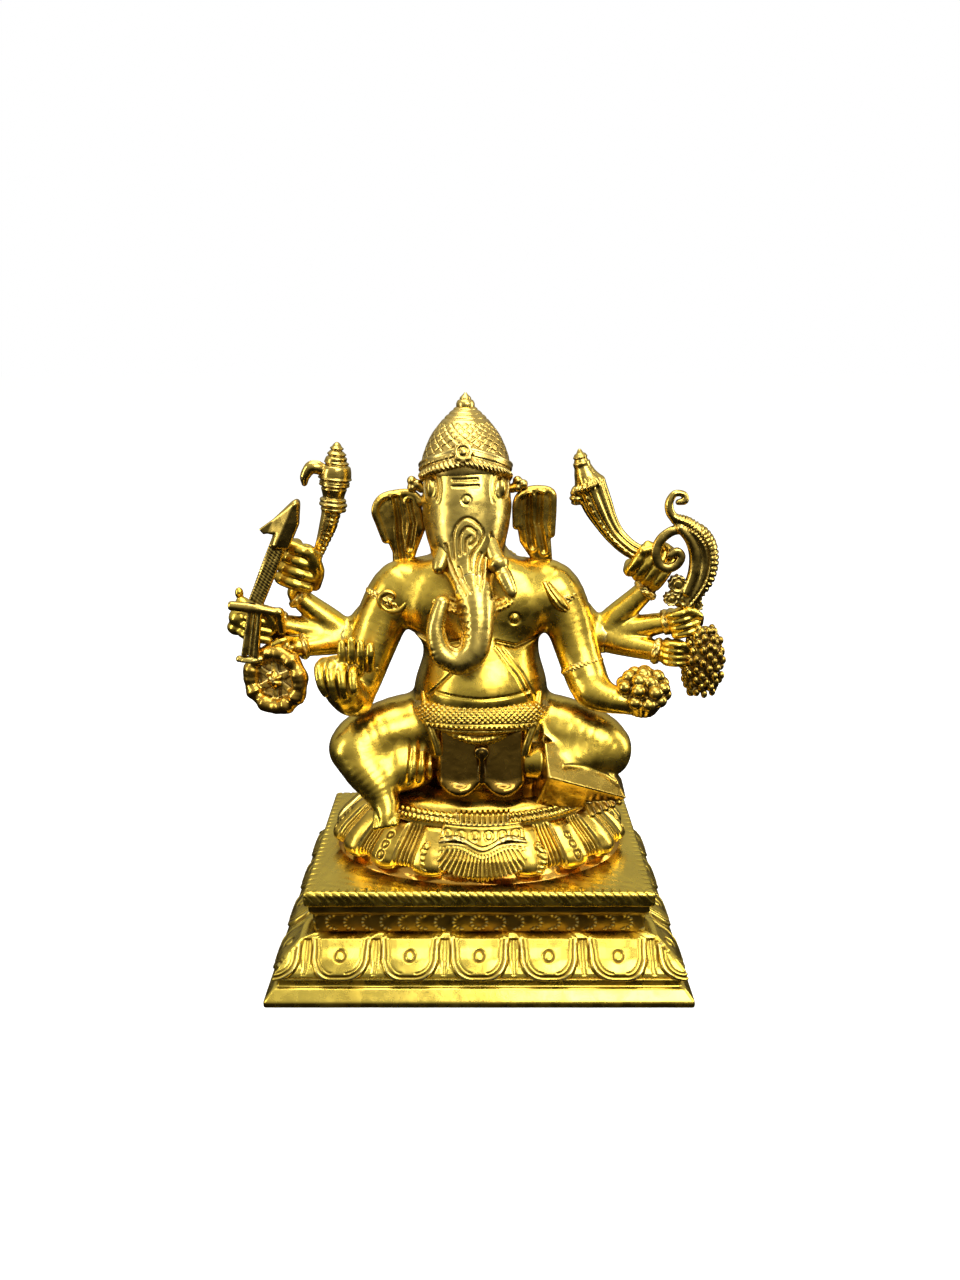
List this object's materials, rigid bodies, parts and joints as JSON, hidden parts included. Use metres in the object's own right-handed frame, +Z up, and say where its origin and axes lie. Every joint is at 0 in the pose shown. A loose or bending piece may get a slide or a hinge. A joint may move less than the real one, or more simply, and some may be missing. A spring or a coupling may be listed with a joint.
{
  "type": "deity statue",
  "caption": "Eight-armed seated elephant-headed deity in gilded cast metal, on a pleated round seat and a stepped rectangular lotus pedestal",
  "frame": {"origin": "middle of the pedestal, at its bottom", "axes": "+Z up, -Y front (the face looks that way), +X towards the deity's own left (the viewer's right)"},
  "size_m": [0.1194, 0.07, 0.136],
  "materials": {
    "gilded_body": "polished gilt brass, orange-brown lacquer in the recesses",
    "gilded_arms": "polished gilt brass",
    "gilded_head": "polished gilt brass, engraved",
    "gilded_crown": "gilt brass, chased lattice",
    "gilded_cloth": "gilt brass, punched and chased",
    "gilded_attributes": "gilt brass, dark in the recesses",
    "gilded_pedestal": "gilt brass, filed and chased",
    "braze_lacquer": "reddish lacquered braze"
  },
  "bodies": {
    "root": {"armlets": "gilded_cloth", "arrow": "gilded_attributes", "belt": "gilded_cloth", "bow": "gilded_attributes", "bracelets": "gilded_cloth", "conch_mace": "gilded_attributes", "conch_trumpet": "gilded_attributes", "crown_band": "gilded_crown", "crown_dome": "gilded_crown", "crown_finial": "gilded_crown", "ear_studs": "gilded_crown", "grain_sprig": "gilded_attributes", "head": "gilded_head", "left_bow_forearm": "gilded_arms", "left_bow_hand": "gilded_arms", "left_conch_forearm": "gilded_arms", "left_conch_hand": "gilded_arms", "left_ear": "gilded_head", "left_foot": "gilded_body", "left_forearm": "gilded_arms", "left_rear_upper_arms": "gilded_arms", "left_shin": "gilded_body", "left_sprig_forearm": "gilded_arms", "left_sprig_hand": "gilded_arms", "left_thigh": "gilded_body", "left_tusk": "gilded_head", "left_upper_arm": "gilded_arms", "necklace": "gilded_cloth", "pedestal_lotus_moulding": "gilded_pedestal", "pedestal_neck": "gilded_pedestal", "pedestal_plinth": "gilded_pedestal", "pedestal_top_plate": "gilded_pedestal", "right_arrow_forearm": "gilded_arms", "right_arrow_hand": "gilded_arms", "right_ear": "gilded_head", "right_foot": "gilded_body", "right_forearm": "gilded_arms", "right_hand": "gilded_arms", "right_mace_forearm": "gilded_arms", "right_mace_hand": "gilded_arms", "right_rear_upper_arms": "gilded_arms", "right_shin": "gilded_body", "right_thigh": "gilded_body", "right_tusk_broken": "gilded_head", "right_upper_arm": "gilded_arms", "right_wheel_forearm": "gilded_arms", "right_wheel_hand": "gilded_arms", "seat_braze_fillet": "braze_lacquer", "seat_cushion": "gilded_cloth", "seat_front_hanging": "gilded_cloth", "seat_rim_cord": "gilded_cloth", "seat_skirt": "gilded_cloth", "seat_tenon": "braze_lacquer", "sweet_bowl": "gilded_attributes", "sweets": "gilded_attributes", "torso": "gilded_body", "trunk": "gilded_head", "waist_cloth": "gilded_cloth", "wheel": "gilded_attributes"}
  },
  "joints": []
}
